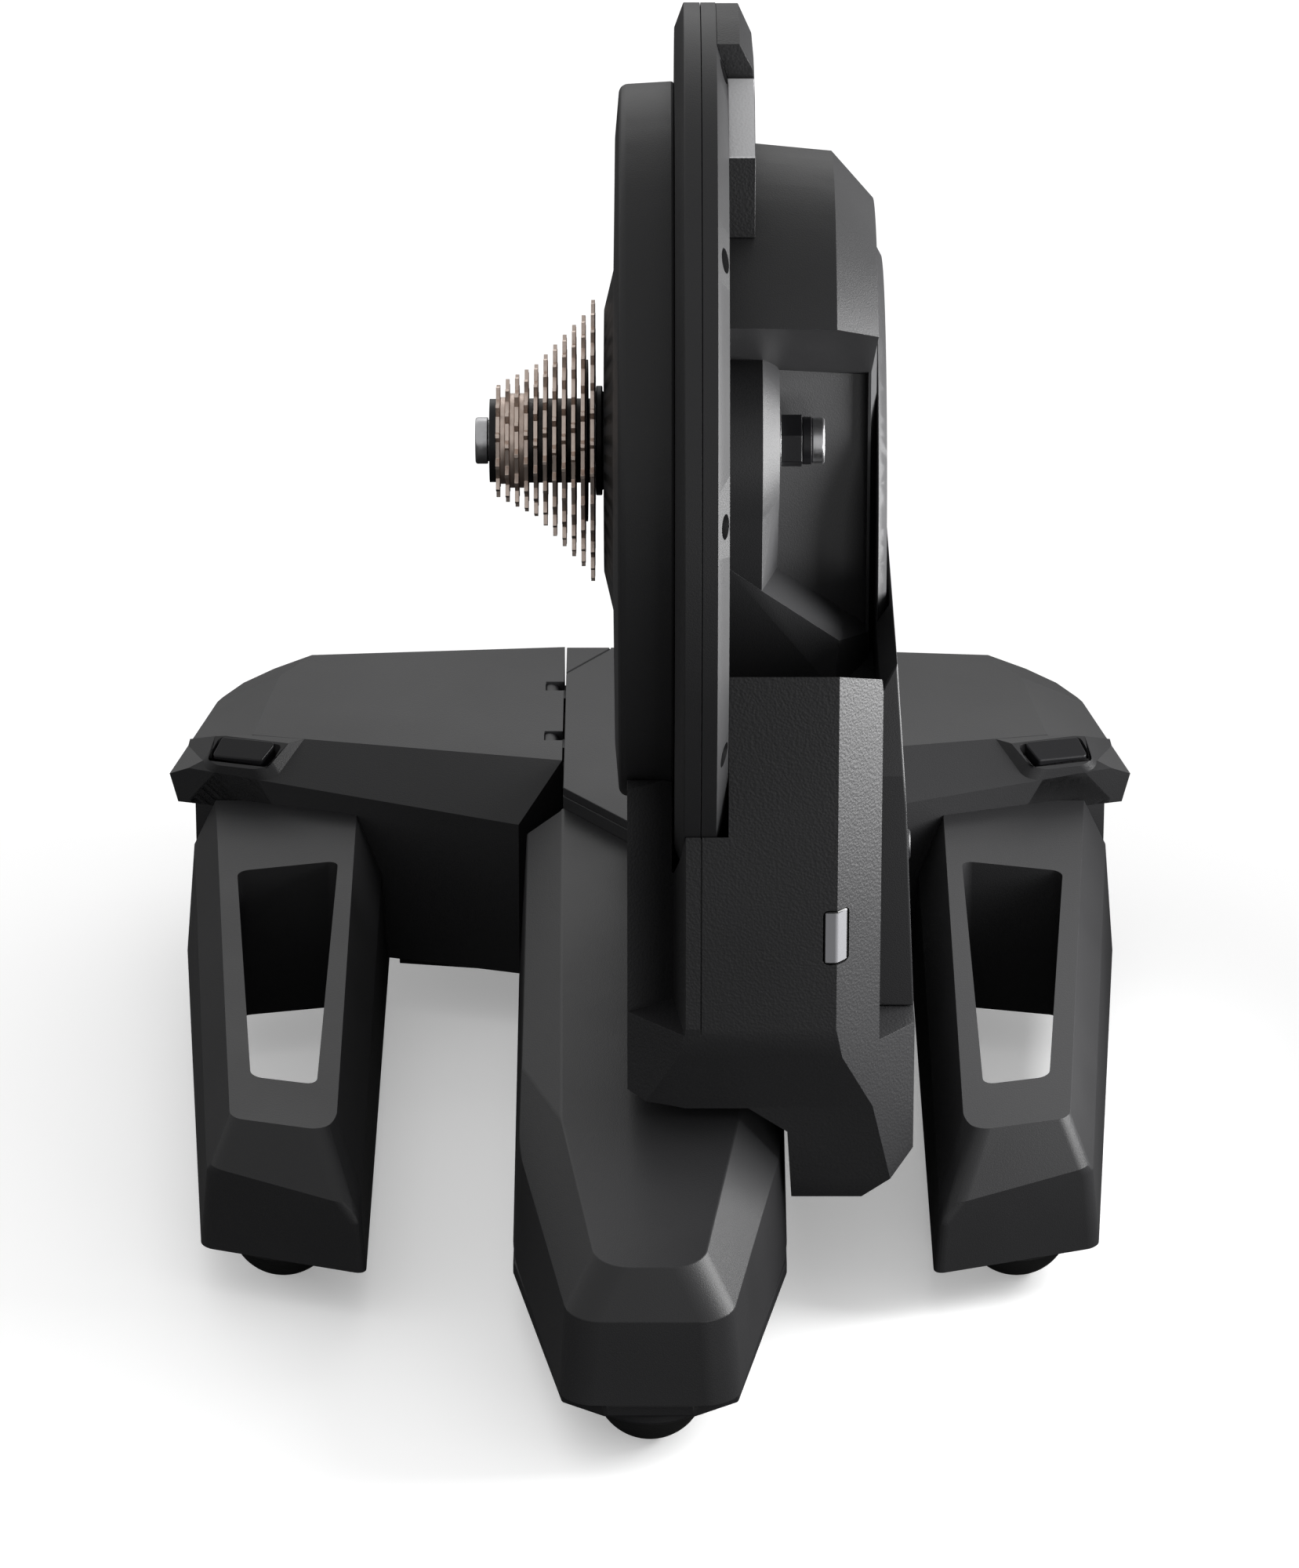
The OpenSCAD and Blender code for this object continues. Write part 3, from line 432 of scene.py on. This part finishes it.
def cut(obj, cutters):
    """Takes the cutters out of a body."""
    for cutter in cutters:
        opening = obj.modifiers.new("opening", "BOOLEAN")
        opening.operation = "DIFFERENCE"
        opening.solver = "EXACT"
        opening.object = cutter
    apply_all(obj)


def moulded(obj, width, weights, clamp=True):
    """Rounds a body by its edge weights, one set after another; the width is in millimetres."""
    for weight in weights:
        weigh_edges(obj, weight)
        bevel(obj, width * MM, 6, clamp=clamp or weight is not toe_corner)
        apply_all(obj)


def plan(points, sign):
    """A plan of the left side, mirrored if sign is -1."""
    return [(sign * x, y) for x, y in points]


def box_plan(x0, y0, x1, y1):
    return [(x0, y0), (x1, y0), (x1, y1), (x0, y1)]


def seat(sign):
    """Cutter for the seat of the release button."""
    return prism("seat", plan(BUTTON_SEAT, sign), 99, 140, 2.2)


def discard(*names):
    """Removes the cutters with these names."""
    for obj in [o for o in bpy.data.objects if o.name.split(".")[0] in names]:
        bpy.data.objects.remove(obj)


def paint(material, *nodes):
    """Hidden CAD nodes keep their own mesh and take a material."""
    for n in nodes:
        data = frame["nodes"][n].data
        data.materials.clear()
        data.materials.append(MATS[material])


# Plans and planes are in millimetres over the floor, and those of a prong or wing are drawn for the left side.
# A plane is given by three points, and what lies on its outer side is cut away.
WINDOW = [(-180.7, 143), (-136.8, 153), (-138.3, -55), (-166, -48)]
BUTTON_SEAT = [(-192.1, 231.3), (-163.8, 222.2), (-169.5, 211.7), (-197.6, 220.1)]
HUB_ZONE = [(-38.5, 210), (-38.5, 171.8), (-10.2, 134.7), (150, 134.7),
            (150, 400), (-150, 400), (-150, 170), (-39, 170)]
WING_STEP = (-230, 150, -203, 262)
HINGE_Y = (232, 290)
LEFT_HINGE_X, RIGHT_HINGE_X = -39, -98
LIP = [(-163, 208, 98), (-100, 189.4, 50), (-58, 177, 98)]
WING_SIDE = [(-196, 301, 105), (-190, 262, 52), (-211, 236, 102)]
# Deck and front of the centre leg
LEG_TOPS = [
    [(0, -222, 81), (10, 5, 103.5), (0, 5, 103.5)],
    [(0, 5, 103.5), (10, 124, 108), (0, 124, 108)],
    [(0, 124, 108), (10, 205, 108.6), (0, 205, 108.6)],
    [(-10, -225, 80.7), (0, -237.5, 63), (10, -225, 80.7)],
    [(-10, -237.5, 63), (0, -238.6, 26), (10, -237.5, 63)],
]
# Right side of the centre leg
LEG_SIDES = [
    [(35.8, -114, 92), (53.4, 5, 92.5), (37.3, 5, 103.5)],
    [(37.3, 5, 103.5), (53.9, 124, 96.5), (38.2, 124, 108)],
    [(38.2, 124, 108), (54, 205, 97), (38.5, 205, 108.6)],
    [(22.3, -216, 81.5), (35.6, -215, 64.5), (35.8, -114, 92)],
    [(53.4, 5, 92.5), (53.5, -113, 79), (57.4, -60, 26)],
    [(53.9, 124, 96.5), (53.4, 5, 92.5), (57.5, 60, 26)],
    [(36.7, -224, 26), (57.4, -98, 26), (35.6, -215, 64.5)],
]
# A prong: deck, outer side, toe and inner side
PRONG = [
    [(-170, -80, 79.4), (-150, 200, 93.5), (-170, 200, 93.5)],
    [(-173.4, -77.8, 79.4), (-192.9, 204.4, 93.7), (-183.3, -79.6, 58)],
    [(-183.3, -79.6, 58), (-206.7, 255.8, 72), (-186.6, -75.5, 22)],
    [(-170.3, -84.9, 79), (-152.4, -102.8, 57), (-134.6, -94.7, 78.7)],
    [(-172.3, -95.5, 57), (-153.4, -98.6, 22), (-132.4, -110, 57)],
    [(-134.6, -94.7, 78.7), (-121.5, -103, 57), (-128.8, -85.9, 78.7)],
    [(-128.8, -85.9, 78.7), (-118.8, -60, 55), (-130.3, 186.4, 93)],
    [(-118.8, -60, 55), (-116.8, 0, 22), (-118.8, 150, 55)],
]
# A wing: slope, front, deck edges, outer side, back and underside
WING = [
    [(-173.3, 231.6, 118), (-58, 177, 98), (-38.6, 204.5, 118)],
    LIP,
    [(-58, 177, 98), (-58, 177, 26), (-38.6, 204.5, 118)],
    [(-177.3, 233.5, 118), (-168.7, 301, 118), (-205, 262, 105)],
    [(-168.7, 301, 118), (-156, 325, 118), (-186, 326, 105)],
    WING_SIDE,
    [(-186, 326, 105), (-183, 306, 52), (-195, 306, 105)],
    [(-160, 335.5, 105), (-165, 324, 40), (-186, 325.5, 105)],
    [(-39, 337, 118), (-100, 333, 26), (-160, 335.5, 105)],
    [(-39, 337, 118), (-160, 335.5, 105), (-149.4, 327.7, 118)],
    [(-190, 216, 52), (-118, 330, 26), (-118, 200, 26)],
]
# The raised corner block of a wing, which holds the button
CORNER = [
    [(-194.3, 232, 117.5), (-198.5, 218.5, 109.8), (-172.6, 210.8, 109.9)],
    LIP,
    WING_SIDE,
    [(-194.3, 232, 117.5), (-209.7, 231, 98), (-198.5, 218.5, 109.8)],
    [(-194.3, 232, 117.5), (-173.5, 232, 118), (-196, 246, 111)],
    [(-161.3, 222.2, 117.6), (-170.9, 210.5, 110.2), (-164, 208.3, 98)],
]


def toe_corner(run, angle, middle):
    """Wide radius on the upright corners of a toe."""
    at_toe = middle.y < -0.07
    return 1.0 if angle > 0.08 and abs(run.z) > 0.4 and at_toe else 0


def rim(run, angle, middle):
    """Narrow radius along the rims, a little wider on the upper ones."""
    if angle < 0.3:
        return 0
    upper = middle.z > 0.084 - AXLE_H
    return 0.22 if upper else 0.1


def wing_corner(run, angle, middle):
    """Round back corner of a wing and its round hinge edge."""
    hinge_edge = abs(run.y) > 0.99 and abs(middle.x) < 0.11 and middle.z > 0.117 - AXLE_H
    back_corner = abs(middle.x) > 0.15 and middle.y > 0.28 and 0.04 < angle < 1.0
    return 0.5 if hinge_edge else 1.0 if back_corner else 0


def wing_crease(run, angle, middle):
    return 0.18 if angle > 0.3 else 0


def pad_corner(run, angle, middle):
    """Round front corners of the corner block."""
    return 1.0 if angle > 0.04 and abs(run.z) > 0.6 and middle.y < 0.225 else 0


def pad_rim(run, angle, middle):
    return 0.3 if angle > 0.3 else 0


class PieceOperator(bpy.types.Operator):
    bl_options = {"REGISTER", "UNDO"}

    def execute(self, context):
        self.build()
        return {"FINISHED"}


class TRAINER_OT_drive(PieceOperator):
    """Drive cover, shells, drum and side cover"""
    bl_idname = "trainer.drive"
    bl_label = "Drive unit"

    def build(self):
        skin("drive_cover", "cover", 2.2, angle=20)
        skin("drive_shell", "shell", 0.6)
        skin("main_shell", "shell", 1.4)
        skin("side_cover", "shell", 0.6)
        skin("rear_housing", "shell", 1)
        skin("shell_screws", "black", 0.3)


class TRAINER_OT_housing(PieceOperator):
    """Lower housing, service panel, plug and status lens"""
    bl_idname = "trainer.housing"
    bl_label = "Lower housing"

    def build(self):
        skin("lower_housing", "textured", 1.6)
        skin("service_panel", "shell", 1)
        skin("side_plug", "black", 0.4)
        skin("status_lens", "lens", 0.8)


class TRAINER_OT_handle(PieceOperator):
    """Grab handle block on the flange"""
    bl_idname = "trainer.handle"
    bl_label = "Grab handle"

    def build(self):
        skin("grab_handle", "handle", 1.4)


class TRAINER_OT_axle(PieceOperator):
    """Thru axle ends, ring, sleeve and seal"""
    bl_idname = "trainer.axle"
    bl_label = "Axle"

    def build(self):
        skin("axle_end_left", "silver", 0.6)
        skin("axle_end_right", "silver", 0.6)
        skin("axle_flange_ring", "silver", 0.1)
        skin("axle_sleeve", "black", 0.6)
        skin("seal_ring", "black", 0.5)
        skin("axle_tube", "steel", 0.2)


class TRAINER_OT_cassette(PieceOperator):
    """Cogs, spacers, carrier, lockring and hub flange"""
    bl_idname = "trainer.cassette"
    bl_label = "Cassette"

    def build(self):
        skin("cassette_cogs", "cog", 0.3, segments=2)
        skin("cassette_spacers", "spacer", 0.3)
        skin("cog_carrier", "black", 0.2)
        skin("lockring", "black", 0.4)
        skin("hub_flange", "black", 0.6)


class TRAINER_OT_base(PieceOperator):
    """Hub, cover plate and centre leg"""
    bl_idname = "trainer.base"
    bl_label = "Base"

    def build(self):
        skin("base_hub", "shell", 1.4)
        skin("hub_cover", "shell", 1)
        skin("base_plate", "base", 0.8)
        leg = cut_block("centre_leg_cover_skin", (-70, -260, 26.2), (70, 171.8, 140),
                        LEG_TOPS + mirrored(LEG_SIDES))
        moulded(leg, 12, (toe_corner, rim))
        cut(leg, [prism("hub_zone", HUB_ZONE, 0, 300, 0.3)])
        finish(leg, "centre_leg_cover", "shell")
        discard("hub_zone")
        skin("centre_leg_base", "base", 1.2)
        skin("rear_feet", "rubber", 1)
        skin("centre_foot", "rubber", 0.8)


class TRAINER_OT_legs(PieceOperator):
    """Folding wings with their prongs, buttons and feet"""
    bl_idname = "trainer.legs"
    bl_label = "Folding legs"

    def wing(self, side, sign, hinge_x):
        """Wing and corner block as one shell, with the seat of the button and the hinge's notches."""
        step = prism("step", plan(box_plan(*WING_STEP), sign), 15, 90, 1)
        notches = [prism("notch", plan(box_plan(hinge_x - 8.3, y - 5.3, hinge_x + 2, y + 5.3), sign), 103, 125, 0.5)
                   for y in HINGE_Y]
        wing = cut_block(side + "wing_shell_skin", (-230, 150, 26), (hinge_x, 350, 118), WING, sign)
        cut(wing, [step, *notches, seat(sign)])
        moulded(wing, 12, (wing_corner, wing_crease))
        corner = cut_block("corner", (-230, 195, 90), (-130, 262, 117.9), CORNER, sign)
        cut(corner, [seat(sign)])
        moulded(corner, 6, (pad_corner, pad_rim))
        discard("step", "notch", "seat")
        select_only(corner)
        wing.select_set(True)
        bpy.context.view_layer.objects.active = wing
        bpy.ops.object.join()
        finish(wing, side + "wing_shell", "shell")

    def prong(self, side, sign):
        """Prong with its window."""
        prong = cut_block(side + "prong_skin", (-230, -130, 21), (-100, 213.6, 120), PRONG, sign)
        moulded(prong, 5, (toe_corner, rim), clamp=False)
        cut(prong, [prism("window", plan(WINDOW, sign), 0, 150, 5)])
        bevel(prong, 1.2 * MM, 2, angle=50)
        discard("window")
        finish(prong, side + "prong", "shell")

    def build(self):
        for side, sign, hinge_x in (("left_", 1, LEFT_HINGE_X), ("right_", -1, RIGHT_HINGE_X)):
            self.wing(side, sign, hinge_x)
            skin(side + "wing_base", "base", 0.8)
            self.prong(side, sign)
            skin(side + "release_button", "black", 1.2)
            skin(side + "foot_pad", "rubber", 0.8)
            skin(side + "foot_stem", "steel", 0.3)


class TRAINER_OT_inside(PieceOperator):
    """Materials of the hidden pieces"""
    bl_idname = "trainer.inside"
    bl_label = "Inside"

    def build(self):
        paint("black", "hinge_brackets", "hinge_pins", "power_inlet")
        paint("steel", "rotor_bearings", "freehub_bearings", "freehub_body", "centre_leg_frame",
              "left_button_spring", "right_button_spring", "left_latch_rod", "right_latch_rod")
        paint("iron", "rotor_drum", "stator_core")
        paint("magnet", "rotor_magnets")
        paint("copper", "stator_coils")
        paint("cast", "stator_mount")
        paint("board", "circuit_board", "light_board")


def area_light(name, place, aim, size, power, spread=180):
    bpy.ops.object.light_add(type="AREA", location=place)
    lamp = bpy.context.object
    lamp.name = name
    lamp.data.shape = "RECTANGLE"
    lamp.data.size, lamp.data.size_y = size
    lamp.data.energy = power
    lamp.data.spread = math.radians(spread)
    lamp.rotation_euler = (Vector(aim) - Vector(place)).to_track_quat("-Z", "Y").to_euler()


class TRAINER_OT_stage(PieceOperator):
    """Floor, lights and camera"""
    bl_idname = "trainer.stage"
    bl_label = "Stage"

    def floor(self, look):
        """Pale floor that the camera sees with a glow, and that reflects as a darker one."""
        bpy.ops.mesh.primitive_plane_add(size=30, location=(0, 0, -AXLE_H - 0.0002))
        floor = bpy.context.object
        floor.name = "floor"
        m = Mat("floor")
        pale = m.node("ShaderNodeBsdfDiffuse", Color=(*look.floor, 1))
        glow = m.node("ShaderNodeEmission", Color=(1, 1, 1, 1), Strength=look.floor_glow)
        both = m.tree.nodes.new("ShaderNodeAddShader")
        m.feed(both.inputs[0], pale)
        m.feed(both.inputs[1], glow)
        reflected = m.node("ShaderNodeBsdfDiffuse", Color=(0.08, 0.08, 0.08, 1))
        pick = m.tree.nodes.new("ShaderNodeMixShader")
        m.feed(pick.inputs[0], m.node("ShaderNodeLightPath", result="Is Camera Ray"))
        m.feed(pick.inputs[1], reflected)
        m.feed(pick.inputs[2], Sock(m, both.outputs[0]))
        m.feed(m.out.inputs["Surface"], Sock(m, pick.outputs[0]))
        floor.data.materials.append(m.material)

    def lights(self, scene):
        world = bpy.data.worlds.new("studio")
        scene.world = world
        world.use_nodes = True
        sky = world.node_tree.nodes["Background"].inputs
        sky["Color"].default_value = (1, 1, 1, 1)
        sky["Strength"].default_value = 0.74
        area_light("back", (0.0, 2.2, 1.35), (0, 0, 0.1), (3.0, 1.3), 10.5)
        area_light("right", (0.42, 0.0, -0.04), (0.0, 0.0, -0.04), (0.4, 0.32), 4, spread=110)
        area_light("front right", (0.46, -0.85, -0.2), (0.05, 0.0, -0.05), (0.5, 0.25), 2)

    def camera(self, scene):
        cam_data = bpy.data.cameras.new("camera")
        cam = bpy.data.objects.new("camera", cam_data)
        scene.collection.objects.link(cam)
        cam_data.sensor_fit = "VERTICAL"
        cam_data.sensor_height = 24
        cam_data.sensor_width = 24
        cam_data.lens = 120
        cam_data.clip_start, cam_data.clip_end = 0.1, 60
        cam.location = (-0.0002, -3.0004, 1.4663 - AXLE_H)
        cam.rotation_euler = (math.radians(90 - TILT), 0, 0)
        scene.camera = cam
        scene.render.resolution_x, scene.render.resolution_y = 1657, 2000
        scene.view_settings.view_transform = "Standard"

    def build(self):
        scene = bpy.context.scene
        self.floor(scene.trainer_look)
        self.lights(scene)
        self.camera(scene)


class TRAINER_PT_panel(bpy.types.Panel):
    bl_label = "Bike trainer"
    bl_idname = "TRAINER_PT_panel"
    bl_space_type = "VIEW_3D"
    bl_region_type = "UI"
    bl_category = "Trainer"

    def draw(self, context):
        look = context.scene.trainer_look
        for key in TrainerLook.__annotations__:
            self.layout.prop(look, key)
        for op in OPERATORS:
            self.layout.operator(op.bl_idname)


OPERATORS = (TRAINER_OT_drive, TRAINER_OT_housing, TRAINER_OT_handle, TRAINER_OT_axle, TRAINER_OT_cassette,
             TRAINER_OT_base, TRAINER_OT_legs, TRAINER_OT_inside, TRAINER_OT_stage)
CLASSES = (TrainerLook, *OPERATORS, TRAINER_PT_panel)


def register():
    for c in CLASSES:
        bpy.utils.register_class(c)
    bpy.types.Scene.trainer_look = PointerProperty(type=TrainerLook)


def unregister():
    del bpy.types.Scene.trainer_look
    for c in reversed(CLASSES):
        bpy.utils.unregister_class(c)


def main():
    global frame
    register()
    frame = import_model()
    MATS.update(build_materials(bpy.context.scene.trainer_look))
    for op in OPERATORS:
        group, name = op.bl_idname.split(".")
        getattr(getattr(bpy.ops, group), name)()


if __name__ == "__main__":
    main()
